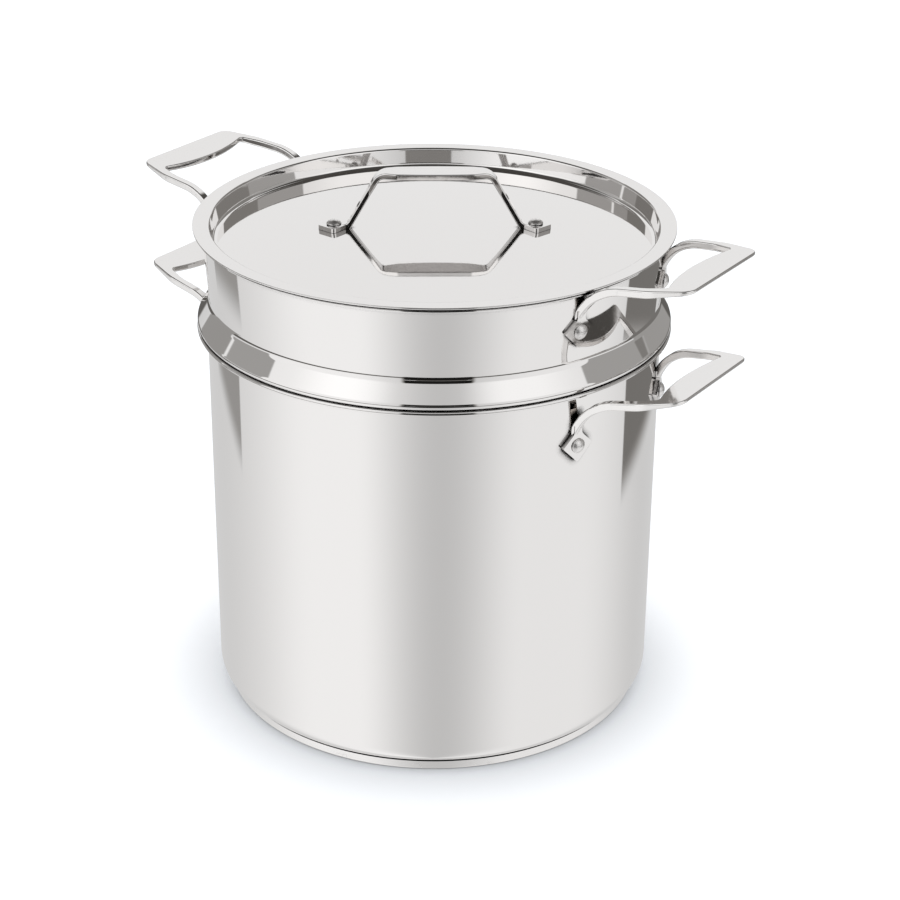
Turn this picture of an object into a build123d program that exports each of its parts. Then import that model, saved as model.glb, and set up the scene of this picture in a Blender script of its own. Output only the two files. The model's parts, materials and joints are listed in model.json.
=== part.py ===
from build123d import *
import math
import os

# Tall stainless pot with a strainer insert that hangs on its lip, and a lid that rests on the insert.
# Origin at the middle of the base underside, +Z up, +X through the right-hand handles.
# Lengths are in millimetres and angles in degrees.

os.makedirs("parts", exist_ok=True)

# Fits and overruns
rest_gap = 0.3
rivet_fit = 0.1
joint_gap = 0.1
overrun = 5.0
touch = 0.01

# Pot body
pot_radius = 130.0
pot_height = 229.2
pot_sheet = 1.0
pot_corner_radius = 11.0
pot_lip_overhang = 5.8
pot_lip_bend = 3.6

# Bonded base
base_cap_radius = 124.5
base_cap_sheet = 0.8
base_cap_corner_radius = 1.6
base_core_thickness = 4.7

# Strainer insert
insert_sheet = 0.9
basket_side_gap = 5.5
basket_floor_gap = 24.0
basket_corner_radius = 14.0
collar_overhang = 5.0
collar_nose_radius = 1.7
collar_height = 14.0
crease_inset = 2.4
bend_radius = 3.2
band_height = 41.8
band_flare = 4.5
insert_lip_overhang = 3.9

# Strainer holes
hole_diameter = 6.0
hole_row_pitch = 17.0
hole_spacing = 24.0
first_row_height = 28.0
plain_top_height = 45.0
floor_ring_pitch = 19.0

# Lid
lid_sheet = 1.0
lid_flange_overhang = 1.5
lid_well_top_radius = 126.9
lid_well_taper = 2.0
lid_well_depth = 11.0
lid_dome_rise = 6.2
lid_top_bend = 1.6
lid_well_bend = 2.6

# Rivets
rivet_head_diameter = 8.4
rivet_head_height = 2.5
rivet_rim_height = 0.5
rivet_shank_diameter = 4.8
rivet_tail_diameter = 7.6
rivet_tail_height = 1.2
rivet_edge_round = 0.5

# Loop handles, in a frame on the wall at rivet height: reach outward, half-widths across, heights up
handle_rivet_half = 44.3
foot_side = 13.8
foot_thickness = 2.6
foot_corner_round = 1.0
foot_neck_height = 12.0
foot_neck_round = 3.0
handle_reach = 51.8
handle_root_rise = 27.33
handle_slope = 11.0
handle_bend_radius = 31.0
arm_width = 5.2
arm_thickness = 4.5
arm_splay = 5.0
arm_steepness = 60.0
arm_knee_height = 11.3
arm_knee_radius = 8.0
arm_toe_height = 5.2
grip_depth = 20.2
grip_corner_depth = 14.5
grip_corner_half = 35.5
grip_outer_half = 37.5
shoulder_depth = 21.3
shoulder_outer_half = 44.2
opening_bend_depth = 25.8
grip_root_depth = 22.8
grip_root_bend = 60.0
grip_edge_thickness = 2.4
grip_corner_radius = 8.0
shoulder_round = 30.0
grip_opening_radius = 2.5
bar_top_round = 0.8
bar_under_round = 1.4
pot_rivet_drop = 32.3
insert_rivet_rise = 19.7

# Lid handle, along its own axis across the lid
lid_handle_turn = 35.6
lid_handle_rivet_half = 57.0
lid_foot_side = 13.4
lid_foot_thickness = 2.6
lid_foot_corner_round = 2.0
lid_arm_toe_half = 52.3
lid_arm_foot_half = 49.6
lid_arm_top_half = 32.0
lid_handle_rise = 32.7
lid_strap_thickness = 3.0
lid_strap_width = 5.6
lid_grip_depth = 16.0
lid_grip_end_depth = 14.4
lid_grip_thickness = 3.6
lid_grip_end_half = 22.0
lid_shoulder_half = 37.0
lid_grip_bend = 9.0
lid_foot_bend = 4.0
lid_inner_bend = 4.0
lid_shoulder_round = 6.0
lid_strap_round = 0.6

# Heights and radii that follow from the sizes above
base_height = base_cap_sheet + base_core_thickness
pot_floor = base_height + pot_sheet
pot_lip_radius = pot_radius + pot_lip_overhang
seat_height = pot_height + rest_gap
basket_radius = pot_radius - pot_sheet - basket_side_gap
basket_bottom = pot_floor + basket_floor_gap
pot_rivet_height = pot_height - pot_rivet_drop
collar_radius = pot_radius + collar_overhang
crease_radius = pot_radius - crease_inset
crease_height = seat_height + collar_height
collar_turn = math.atan2(collar_height, collar_radius - crease_radius)
collar_corner_radius = collar_radius + collar_nose_radius / math.tan(collar_turn / 2) - collar_nose_radius
band_slope = math.tan(math.radians(band_flare))
insert_rivet_height = crease_height + insert_rivet_rise
rim_underside = crease_height + band_height
rim_radius = crease_radius + band_height * band_slope
rim_top = rim_underside + insert_sheet
insert_lip_radius = rim_radius + insert_lip_overhang
lid_underside = rim_top + rest_gap
lid_top = lid_underside + lid_sheet
lid_flange_radius = insert_lip_radius + lid_flange_overhang
lid_well_radius = lid_well_top_radius - lid_well_taper
lid_well_floor = lid_top - lid_well_depth
lid_dome_top = lid_well_floor + lid_dome_rise
dome_radius = (lid_well_radius**2 + lid_dome_rise**2) / (2 * lid_dome_rise)
dome_centre = lid_dome_top - dome_radius


def dome_height(distance, lift=0):
    """Height of the lid's dome, or of a surface lifted parallel to it, at a distance from the axis."""
    return dome_centre + math.sqrt((dome_radius + lift) ** 2 - distance**2)


def band_radius(height):
    """Outside radius of the insert's flared band at a height."""
    return crease_radius + (height - crease_height) * band_slope


def turned_frame(turn, radius=0, height=0, lean=0):
    """Plane at a radius and height, turned about the axis: x points outward, z up, both leaning out."""
    spin = math.radians(turn)
    tip = math.radians(lean)
    outward = Vector(math.cos(spin), math.sin(spin), 0)
    up = Vector(0, 0, 1)
    return Plane(
        origin=outward * radius + up * height,
        x_dir=outward * math.cos(tip) - up * math.sin(tip),
        z_dir=outward * math.sin(tip) + up * math.cos(tip),
    )


def side_plane(frame):
    """Plane through a frame whose x is the frame's x and whose y is the frame's z."""
    return Plane(origin=frame.origin, x_dir=frame.x_dir, z_dir=-frame.y_dir)


def facing_plane(frame, out):
    """Plane that faces outward along a frame's x, a distance out from its origin."""
    return Plane(origin=frame.origin + frame.x_dir * out, x_dir=frame.y_dir, z_dir=frame.x_dir)


def mitre(corner, angle_in, angle_out, distance):
    """Corner of a path moved sideways by a distance, to the right of its run, between two run angles."""
    turn_in = math.radians(angle_in)
    turn_out = math.radians(angle_out)
    across = (math.sin(turn_in) + math.sin(turn_out), -math.cos(turn_in) - math.cos(turn_out))
    share = distance / (1 + math.cos(turn_in - turn_out))
    return (corner[0] + across[0] * share, corner[1] + across[1] * share)


def save(part, name):
    part.label = name
    export_step(part, "parts/" + name + ".step")


def sheet_of_revolution(points, radii, thickness):
    """Revolve an open outline, thickened to its left, about the pot's axis."""
    with BuildPart() as shell:
        with BuildSketch(Plane.XZ):
            with BuildLine():
                FilletPolyline(*points, radius=radii)
                offset(amount=thickness, side=Side.LEFT)
            make_face()
        revolve(axis=Axis.Z)
    return shell.part


# Turn of each handle, and which way its front and back rivets are turned from there
handle_turns = {"right": 0, "left": 180}
rivet_ways = {("right", "front"): -1, ("right", "back"): 1, ("left", "front"): 1, ("left", "back"): -1}


def rivet_turn(side, end, radius):
    """Turn of a rivet about the axis: the rivets of a handle keep their distance on any wall."""
    return handle_turns[side] + rivet_ways[side, end] * math.degrees(math.asin(handle_rivet_half / radius))


def rivet_drills(radius, height, lean):
    """The four pins that drill the rivet holes of one pair of loop handles."""
    frames = [turned_frame(rivet_turn(*place, radius), radius, height, lean) for place in rivet_ways]
    with BuildPart() as drills:
        for frame in frames:
            with BuildSketch(facing_plane(frame, -overrun)):
                Circle(rivet_shank_diameter / 2 + rivet_fit)
            extrude(amount=2 * overrun)
    return drills.part


# Pot shell: one drawn sheet, with a flared pouring lip
pot_outline = [
    (0, base_height),
    (pot_radius, base_height),
    (pot_radius, pot_height - pot_sheet),
    (pot_lip_radius, pot_height - pot_sheet),
]
pot_radii = [pot_corner_radius, pot_lip_bend]
with BuildPart() as pot_shell:
    add(sheet_of_revolution(pot_outline, pot_radii, pot_sheet))
    add(rivet_drills(pot_radius, pot_rivet_height, 0), mode=Mode.SUBTRACT)
save(pot_shell.part, "pot_shell")

# Base core: aluminium disc that spreads the heat
base_core_radius = base_cap_radius - base_cap_sheet - joint_gap
with BuildPart() as base_core_disc:
    with BuildSketch(Plane.XY.offset(base_cap_sheet)):
        Circle(base_core_radius)
    extrude(amount=base_core_thickness)
    fillet(base_core_disc.edges().group_by(Axis.Z)[0], radius=base_cap_corner_radius - base_cap_sheet)
save(base_core_disc.part, "base_core_disc")

# Base cap: stainless dish that closes the core
cap_outline = [(0, 0), (base_cap_radius, 0), (base_cap_radius, base_height)]
with BuildPart() as base_cap:
    add(sheet_of_revolution(cap_outline, [base_cap_corner_radius], base_cap_sheet))
save(base_cap.part, "base_cap")

# Strainer insert: perforated basket, collar that rests on the pot's lip, and flared band
insert_outline = [
    (0, basket_bottom),
    (basket_radius, basket_bottom),
    (basket_radius, seat_height),
    (collar_corner_radius, seat_height),
    (crease_radius, crease_height),
    (rim_radius, rim_underside),
    (insert_lip_radius, rim_underside),
]
insert_radii = [basket_corner_radius, bend_radius, collar_nose_radius, bend_radius, bend_radius]
hole_rows = int((seat_height - basket_bottom - first_row_height - plain_top_height) / hole_row_pitch) + 1
holes_per_row = int(2 * math.pi * basket_radius / hole_spacing)
floor_rings = int((basket_radius - basket_corner_radius) / floor_ring_pitch)
with BuildPart() as insert_basket:
    add(sheet_of_revolution(insert_outline, insert_radii, insert_sheet))
    band_drills = rivet_drills(band_radius(insert_rivet_height), insert_rivet_height, band_flare)
    add(band_drills, mode=Mode.SUBTRACT)
    for row in range(hole_rows):
        row_height = basket_bottom + first_row_height + row * hole_row_pitch
        stagger = (row % 2) * 180 / holes_per_row
        with Locations((0, 0, row_height)):
            with PolarLocations(basket_radius, holes_per_row, start_angle=stagger):
                Cylinder(hole_diameter / 2, 2 * overrun, rotation=(0, 90, 0), mode=Mode.SUBTRACT)
    with BuildSketch(Plane.XY.offset(basket_bottom - overrun)):
        Circle(hole_diameter / 2)
        for ring in range(1, floor_rings + 1):
            with PolarLocations(ring * floor_ring_pitch, 6 * ring):
                Circle(hole_diameter / 2)
    extrude(amount=2 * overrun, mode=Mode.SUBTRACT)
save(insert_basket.part, "insert_basket")

# Lid: flat flange, steep well and a shallow domed middle
lid_outline_end = (lid_flange_radius, lid_top)
with BuildPart() as lid_shell:
    with BuildSketch(Plane.XZ):
        with BuildLine() as lid_line:
            dome = RadiusArc((0, lid_dome_top), (lid_well_radius, lid_well_floor), dome_radius)
            well = Line((lid_well_radius, lid_well_floor), (lid_well_top_radius, lid_top))
            flange = Line((lid_well_top_radius, lid_top), lid_outline_end)
            fillet(lid_line.vertices().sort_by(Axis.X)[1], radius=lid_well_bend)
            fillet(lid_line.vertices().sort_by(Axis.X)[-2], radius=lid_top_bend)
            offset(amount=lid_sheet, side=Side.RIGHT)
        make_face()
    revolve(axis=Axis.Z)
    with BuildSketch(turned_frame(lid_handle_turn, 0, lid_well_floor)):
        with Locations((-lid_handle_rivet_half, 0), (lid_handle_rivet_half, 0)):
            Circle(rivet_shank_diameter / 2 + rivet_fit)
    extrude(amount=2 * lid_well_depth, both=True, mode=Mode.SUBTRACT)
save(lid_shell.part, "lid_shell")


def wall_ring(radius, height, lean, inner, outer):
    """Ring parallel to a wall, between two distances from it, tall enough for a whole handle."""
    slope = math.tan(math.radians(lean))
    low = height - 2 * handle_reach
    high = height + 2 * handle_reach

    def ring_radius(level, distance):
        return radius + (level - height) * slope + distance / math.cos(math.radians(lean))

    with BuildPart() as ring:
        with BuildSketch(Plane.XZ):
            with BuildLine():
                Polyline(
                    (ring_radius(low, inner), low),
                    (ring_radius(low, outer), low),
                    (ring_radius(high, outer), high),
                    (ring_radius(high, inner), high),
                    close=True,
                )
            make_face()
        revolve(axis=Axis.Z)
    return ring.part


def sharp_edges_on(part, frame, outline, end_reach=math.inf):
    """Edges along an outline drawn on the side plane of a frame; of those across it, only the end ones."""
    chosen = ShapeList()
    for edge in part.edges():
        start, middle = (frame.to_local_coords(edge.position_at(share)) for share in (0, 0.5))
        runs = math.hypot(middle.X - start.X, middle.Z - start.Z) > touch
        ends = middle.X > end_reach - touch
        if (runs or ends) and outline.distance_to(Vertex(middle.X, middle.Z, 0)) < touch:
            chosen.append(edge)
    return chosen


def loop_bar(frame, radius):
    """Grip and arms of a loop handle: its side outline crossed with its outline seen from above."""
    slope = math.tan(math.radians(handle_slope))
    steep = math.tan(math.radians(arm_steepness))
    splay = math.tan(math.radians(arm_splay))
    shoulder_inner_half = shoulder_outer_half - arm_width
    shoulder_reach = handle_reach - shoulder_depth
    opening_bend_reach = handle_reach - opening_bend_depth
    grip_corner_reach = handle_reach - grip_corner_depth
    grip_root_reach = handle_reach - grip_root_depth

    def top_at(reach):
        return handle_root_rise + reach * slope

    def spread(reach):
        return (shoulder_reach - reach) * splay

    # The arm starts on the wall under its outer edge; the rest of its back is cut to the wall later
    rivet_reach = math.sqrt(radius**2 - handle_rivet_half**2) - radius
    arm_outer_half = shoulder_outer_half + spread(rivet_reach)
    arm_back = math.sqrt(radius**2 - arm_outer_half**2) - radius + joint_gap
    foot_front = math.sqrt((radius + foot_thickness) ** 2 - arm_outer_half**2) - radius
    knee = (arm_back, arm_knee_height)
    elbow_reach = (top_at(0) - arm_knee_height + arm_back * steep) / (steep - slope)
    elbow = (elbow_reach, top_at(elbow_reach))
    toe = (arm_back, arm_toe_height)
    under_toe = (foot_front, arm_toe_height)
    under_knee = mitre(knee, 90, arm_steepness, arm_thickness)
    under_elbow = mitre(elbow, arm_steepness, handle_slope, arm_thickness)
    arm_drop = arm_thickness / math.cos(math.radians(handle_slope))
    grip_root = (grip_root_reach, top_at(grip_root_reach) - arm_drop)
    grip_end = (handle_reach, top_at(handle_reach))
    grip_edge = (handle_reach, top_at(handle_reach) - grip_edge_thickness)
    start_reach = arm_back - overrun
    far_reach = start_reach - overrun

    with BuildLine() as top_line:
        FilletPolyline(grip_end, elbow, knee, toe, radius=[handle_bend_radius, arm_knee_radius])
    with BuildLine() as under_line:
        FilletPolyline(
            under_toe,
            under_knee,
            under_elbow,
            grip_root,
            grip_edge,
            radius=[arm_thickness, handle_bend_radius - arm_thickness, grip_root_bend],
        )
    with BuildPart() as bar:
        with BuildSketch(side_plane(frame)):
            with BuildLine():
                add(top_line.line)
                add(under_line.line)
                Line(toe, under_toe)
                Line(grip_edge, grip_end)
            make_face()
        extrude(amount=2 * handle_reach, both=True)
        with BuildSketch(frame) as plan:
            with BuildLine():
                FilletPolyline(
                    (start_reach, shoulder_outer_half + spread(start_reach)),
                    (shoulder_reach, shoulder_outer_half),
                    (handle_reach, grip_outer_half),
                    (handle_reach, -grip_outer_half),
                    (shoulder_reach, -shoulder_outer_half),
                    (start_reach, -shoulder_outer_half - spread(start_reach)),
                    radius=[shoulder_round, grip_corner_radius, grip_corner_radius, shoulder_round],
                )
                Line(
                    (start_reach, -shoulder_outer_half - spread(start_reach)),
                    (start_reach, shoulder_outer_half + spread(start_reach)),
                )
            make_face()
            with BuildLine():
                for side in (-1, 1):
                    FilletPolyline(
                        (far_reach, side * (shoulder_inner_half + spread(far_reach))),
                        (opening_bend_reach, side * (shoulder_inner_half + spread(opening_bend_reach))),
                        (grip_corner_reach, side * grip_corner_half),
                        radius=shoulder_round,
                    )
                ThreePointArc(
                    (grip_corner_reach, grip_corner_half),
                    (handle_reach - grip_depth, 0),
                    (grip_corner_reach, -grip_corner_half),
                )
                Line(
                    (far_reach, shoulder_inner_half + spread(far_reach)),
                    (far_reach, -shoulder_inner_half - spread(far_reach)),
                )
            make_face(mode=Mode.SUBTRACT)
            corners = plan.vertices().filter_by_position(
                Axis.X, grip_corner_reach - touch, grip_corner_reach + touch
            )
            fillet(corners, radius=grip_opening_radius)
        extrude(amount=2 * handle_reach, both=True, mode=Mode.INTERSECT)
        fillet(sharp_edges_on(bar, frame, top_line.wire(), handle_reach), radius=bar_top_round)
        fillet(sharp_edges_on(bar, frame, under_line.wire(), handle_reach), radius=bar_under_round)
    return bar.part


def foot_block(frame):
    """Square foot set on its corner, with the neck that runs up into the arm, deeper than the wall."""
    half_diagonal = foot_side / math.sqrt(2)
    neck_root = half_diagonal - arm_width / 2
    with BuildPart() as block:
        with BuildSketch(facing_plane(frame, -overrun)) as outline:
            Rectangle(foot_side, foot_side, rotation=45)
            with Locations((0, foot_neck_height / 2)):
                Rectangle(arm_width, foot_neck_height)
            roots = outline.vertices().filter_by_position(Axis.Y, neck_root - touch, neck_root + touch)
            fillet(roots, radius=foot_neck_round)
            tips = outline.vertices().filter_by_position(Axis.Y, -half_diagonal - touch, touch)
            fillet(tips, radius=foot_corner_round)
        extrude(amount=overrun + 2 * foot_thickness)
    return block.part


def loop_handle(side, radius, height, lean):
    """One loop handle, with its rivet holes, at the right or left of a wall."""
    turn = handle_turns[side]
    with BuildPart() as handle:
        for end in ("front", "back"):
            add(foot_block(turned_frame(rivet_turn(side, end, radius), radius, height, lean)))
        add(wall_ring(radius, height, lean, -2 * overrun, joint_gap + foot_thickness), mode=Mode.INTERSECT)
        add(loop_bar(turned_frame(turn, radius, height, lean), radius))
        add(wall_ring(radius, height, lean, -3 * overrun, joint_gap), mode=Mode.SUBTRACT)
        add(rivet_drills(radius, height, lean), mode=Mode.SUBTRACT)
    return handle.part


def rivet(frame, tail_seat, head_seat):
    """Rivet along a frame's x: domed head outside, shank through the joint, low tail inside."""
    head_half = rivet_head_diameter / 2
    tail_half = rivet_tail_diameter / 2
    shank_half = rivet_shank_diameter / 2
    tail_end = tail_seat - rivet_tail_height
    tail_edge_low = (tail_end, tail_half - rivet_edge_round)
    tail_edge_high = (tail_end + rivet_edge_round, tail_half)
    rim = head_seat + rivet_rim_height
    dome_rise = rivet_head_height - rivet_rim_height
    crown_radius = (head_half**2 + dome_rise**2) / (2 * dome_rise)
    with BuildPart() as pin:
        with BuildSketch(side_plane(frame)):
            with BuildLine():
                Line((tail_end, 0), tail_edge_low)
                RadiusArc(tail_edge_low, tail_edge_high, rivet_edge_round)
                Polyline(
                    tail_edge_high,
                    (tail_seat, tail_half),
                    (tail_seat, shank_half),
                    (head_seat, shank_half),
                    (head_seat, head_half),
                    (rim, head_half),
                )
                RadiusArc((rim, head_half), (head_seat + rivet_head_height, 0), crown_radius)
                Line((head_seat + rivet_head_height, 0), (tail_end, 0))
            make_face()
        revolve(axis=Axis(frame.origin, frame.x_dir))
    return pin.part


def wall_rivet(side, end, radius, height, lean, sheet):
    """Rivet of a loop handle, seated on the foot outside and on the sheet inside."""
    frame = turned_frame(rivet_turn(side, end, radius), radius, height, lean)
    tail_half = rivet_tail_diameter / 2
    tail_seat = math.sqrt((radius - sheet) ** 2 - tail_half**2) - radius - joint_gap
    return rivet(frame, tail_seat, foot_thickness + 2 * joint_gap)


# Loop handles and rivets of the pot, then of the insert: same castings, the insert's leaning with its band
band_rivet_radius = band_radius(insert_rivet_height)
pot_seat = (pot_radius, pot_rivet_height, 0)
insert_seat = (band_rivet_radius, insert_rivet_height, band_flare)
for owner, seat, sheet in (("pot", pot_seat, pot_sheet), ("insert", insert_seat, insert_sheet)):
    for side in handle_turns:
        save(loop_handle(side, *seat), owner + "_handle_" + side)
    for side, end in rivet_ways:
        save(wall_rivet(side, end, *seat, sheet), owner + "_rivet_" + side + "_" + end)


def dome_layer(low, high):
    """Layer parallel to the lid's dome, between two distances above it."""
    low_middle = (0, dome_height(0, low))
    low_edge = (lid_well_radius, dome_height(lid_well_radius, low))
    high_middle = (0, dome_height(0, high))
    high_edge = (lid_well_radius, dome_height(lid_well_radius, high))
    with BuildPart() as layer:
        with BuildSketch(Plane.XZ):
            with BuildLine():
                RadiusArc(low_middle, low_edge, dome_radius + low)
                Line(low_edge, high_edge)
                RadiusArc(high_edge, high_middle, -dome_radius - high)
                Line(high_middle, low_middle)
            make_face()
        revolve(axis=Axis.Z)
    return layer.part


# Lid handle: flat strap bent up from two riveted feet, wider and thicker along the grip
lid_frame = turned_frame(lid_handle_turn)
lid_foot_top = dome_height(lid_arm_foot_half, joint_gap + lid_foot_thickness)
lid_grip_top = lid_dome_top + lid_handle_rise
lid_arm_lean = (lid_arm_foot_half - lid_arm_top_half) / (lid_grip_top - lid_foot_top)
lid_arm_share = math.sqrt(1 + lid_arm_lean**2)
lid_strap_half = lid_strap_width / 2


def lid_arm_inner(height):
    """Distance from the middle to the inner face of the lid handle's arm at a height."""
    outer = lid_arm_foot_half - (height - lid_foot_top) * lid_arm_lean
    return outer - lid_strap_thickness * lid_arm_share


lid_under_foot = lid_foot_top - lid_foot_thickness - overrun
lid_grip_under = lid_grip_top - lid_grip_thickness
lid_top_points = [
    (-lid_arm_toe_half, lid_foot_top),
    (-lid_arm_foot_half, lid_foot_top),
    (-lid_arm_top_half, lid_grip_top),
    (lid_arm_top_half, lid_grip_top),
    (lid_arm_foot_half, lid_foot_top),
    (lid_arm_toe_half, lid_foot_top),
]
lid_under_points = [
    (-lid_arm_inner(lid_under_foot), lid_under_foot),
    (-lid_arm_inner(lid_grip_under), lid_grip_under),
    (lid_arm_inner(lid_grip_under), lid_grip_under),
    (lid_arm_inner(lid_under_foot), lid_under_foot),
]
with BuildLine() as lid_top_line:
    FilletPolyline(*lid_top_points, radius=[lid_foot_bend, lid_grip_bend, lid_grip_bend, lid_foot_bend])
with BuildLine() as lid_under_line:
    FilletPolyline(*lid_under_points, radius=[lid_inner_bend, lid_inner_bend])
with BuildPart() as lid_strap:
    with BuildSketch(side_plane(lid_frame)):
        with BuildLine():
            add(lid_top_line.line)
            add(lid_under_line.line)
            for side in (-1, 1):
                Polyline(
                    (side * lid_arm_toe_half, lid_foot_top),
                    (side * lid_arm_toe_half, lid_under_foot),
                    (side * lid_arm_inner(lid_under_foot), lid_under_foot),
                )
        make_face()
    extrude(amount=lid_grip_depth, both=True)
    with BuildSketch(lid_frame) as lid_plan:
        with BuildLine():
            for side in (-1, 1):
                grip_end_half = side * lid_grip_end_depth / 2
                ThreePointArc(
                    (-lid_grip_end_half, grip_end_half),
                    (0, side * lid_grip_depth / 2),
                    (lid_grip_end_half, grip_end_half),
                )
                for end in (-1, 1):
                    Polyline(
                        (end * lid_grip_end_half, grip_end_half),
                        (end * lid_shoulder_half, side * lid_strap_half),
                        (end * lid_handle_rivet_half, side * lid_strap_half),
                    )
            for end in (-1, 1):
                Line(
                    (end * lid_handle_rivet_half, -lid_strap_half),
                    (end * lid_handle_rivet_half, lid_strap_half),
                )
        make_face()
        shoulders = lid_plan.vertices().filter_by_position(
            Axis.X, -lid_shoulder_half - touch, lid_shoulder_half + touch
        )
        fillet(shoulders, radius=lid_shoulder_round)
    extrude(amount=2 * lid_grip_top, both=True, mode=Mode.INTERSECT)
    fillet(sharp_edges_on(lid_strap, lid_frame, lid_top_line.wire()), radius=lid_strap_round)
    fillet(sharp_edges_on(lid_strap, lid_frame, lid_under_line.wire()), radius=lid_strap_round)
with BuildPart() as lid_handle:
    with BuildSketch(lid_frame.offset(lid_well_floor)) as lid_feet:
        with Locations((-lid_handle_rivet_half, 0), (lid_handle_rivet_half, 0)):
            Rectangle(lid_foot_side, lid_foot_side, rotation=45)
        fillet(lid_feet.vertices(), radius=lid_foot_corner_round)
    extrude(amount=2 * lid_well_depth)
    add(dome_layer(-overrun, joint_gap + lid_foot_thickness), mode=Mode.INTERSECT)
    add(lid_strap.part)
    add(dome_layer(-3 * overrun, joint_gap), mode=Mode.SUBTRACT)
    with BuildSketch(lid_frame.offset(lid_well_floor)):
        with Locations((-lid_handle_rivet_half, 0), (lid_handle_rivet_half, 0)):
            Circle(rivet_shank_diameter / 2 + rivet_fit)
    extrude(amount=lid_well_depth, mode=Mode.SUBTRACT)
save(lid_handle.part, "lid_handle")

# Lid rivets stand upright; the dome slopes under them, so each seat clears its highest or lowest edge
lid_head_seat = dome_height(
    lid_handle_rivet_half - rivet_head_diameter / 2, joint_gap + lid_foot_thickness
) + joint_gap
lid_tail_seat = dome_height(lid_handle_rivet_half + rivet_tail_diameter / 2, -lid_sheet) - joint_gap
for side, side_turn in handle_turns.items():
    spot = turned_frame(side_turn + lid_handle_turn, lid_handle_rivet_half)
    upright = Plane(origin=spot.origin, x_dir=spot.z_dir, z_dir=spot.y_dir)
    save(rivet(upright, lid_tail_seat, lid_head_seat), "lid_rivet_" + side)
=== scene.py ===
# %% [markdown]
# Pasta pot with a strainer insert and a lid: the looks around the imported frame.
# The CAD model already holds every piece at its real size and place, so this script adds what a solid can't have:
# mirror-polished steel, satin insides, the studio that the steel mirrors, a floor with a soft shadow, and a camera.
# Lengths are in metres. The origin is the middle of the base's underside and +X runs through the right-hand loops.

# %% Load the frame
import bpy
import json
import math
from mathutils import Matrix, Vector


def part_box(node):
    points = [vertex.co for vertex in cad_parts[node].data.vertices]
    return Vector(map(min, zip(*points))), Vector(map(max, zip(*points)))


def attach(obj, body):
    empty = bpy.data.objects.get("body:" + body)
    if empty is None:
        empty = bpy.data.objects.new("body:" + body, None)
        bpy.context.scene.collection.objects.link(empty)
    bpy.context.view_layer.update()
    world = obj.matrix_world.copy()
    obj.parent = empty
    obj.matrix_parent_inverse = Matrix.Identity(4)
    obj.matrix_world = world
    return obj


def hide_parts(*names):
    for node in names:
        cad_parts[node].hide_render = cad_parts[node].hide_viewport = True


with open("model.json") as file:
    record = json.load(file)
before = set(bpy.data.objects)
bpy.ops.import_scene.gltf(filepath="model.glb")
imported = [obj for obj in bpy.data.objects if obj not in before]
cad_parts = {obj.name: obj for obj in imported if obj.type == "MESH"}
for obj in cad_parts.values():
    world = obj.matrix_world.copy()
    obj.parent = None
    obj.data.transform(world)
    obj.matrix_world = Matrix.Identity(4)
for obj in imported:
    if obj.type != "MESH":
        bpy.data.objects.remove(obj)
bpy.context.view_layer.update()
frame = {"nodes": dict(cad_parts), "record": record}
bpy.ops.object.select_all(action="DESELECT")
bodies = frame["record"]["behaviour"]["bodies"]
print("bodies:", {name: len(nodes) for name, nodes in bodies.items()})

# %% [markdown]
# The photograph was taken from a little above, some way off to the pot's right-hand front, with a long lens.
# The camera was found by fitting the pot's circles and rivets to the picture, so it is written as a place, a pitch
# and a roll, turned about the pot's axis together. A long lens keeps the lip and the base nearly equal in width.

# %% Camera
camera_turn = math.radians(33.8)
camera_place = Vector((0.00963, -1.18338, 0.71041))
camera_pitch = 0.4476
camera_roll = 0.0087
camera_lens = 88.61
sensor_width = 36

forward = Vector((0, math.cos(camera_pitch), -math.sin(camera_pitch)))
across = Vector((1, 0, 0))
upward = Vector((0, math.sin(camera_pitch), math.cos(camera_pitch)))
rolled_across = across * math.cos(camera_roll) + upward * math.sin(camera_roll)
rolled_upward = upward * math.cos(camera_roll) - across * math.sin(camera_roll)
camera_axes = Matrix((rolled_across, rolled_upward, -forward)).transposed()
about_pot = Matrix.Rotation(camera_turn, 3, "Z")

camera_data = bpy.data.cameras.new("photo_camera")
camera_data.lens = camera_lens
camera_data.sensor_width = sensor_width
camera = bpy.data.objects.new("photo_camera", camera_data)
bpy.context.scene.collection.objects.link(camera)
camera.matrix_world = (about_pot @ camera_axes).to_4x4()
camera.location = about_pot @ camera_place
bpy.context.scene.camera = camera
camera_azimuth = math.degrees(math.atan2(camera.location.x, -camera.location.y))
print("camera azimuth:", round(camera_azimuth, 2))

# %% [markdown]
# Polished steel has no colour of its own: what it shows is the room. So the room comes first.
# A product studio is a white tent with a few grey flags, which give the steel its soft dark bands and sharp edges.
# The tent could be built from cards and lamps, but a world shader is lighter: it answers one question, what lies in
# this direction, and it can be soft in one place and sharp in another.
# Directions are given as an azimuth from the camera's own side, positive to its right, and an elevation.

# %% Helpers: add a node, feed a socket
def node_of(tree, kind, **settings):
    """Add a shader node and set its properties."""
    node = tree.nodes.new(kind)
    for name, value in settings.items():
        setattr(node, name, value)
    return node


def feed(tree, value, socket):
    """Link a socket into another, or write a plain value on it."""
    if isinstance(value, bpy.types.NodeSocket):
        tree.links.new(value, socket)
    else:
        socket.default_value = value


# %% [markdown]
# Three small helpers do all the arithmetic of the studio and of the finishes: a sum, a soft step and a blend.
# They take sockets and plain numbers alike, so that the lines below read as formulas.

# %% Helpers: sums, soft steps and blends
def maths(tree, operation, *values, clamp=False):
    """A Math node on sockets or plain numbers."""
    node = node_of(tree, "ShaderNodeMath", operation=operation, use_clamp=clamp)
    for value, socket in zip(values, node.inputs):
        feed(tree, value, socket)
    return node.outputs["Value"]


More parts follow.
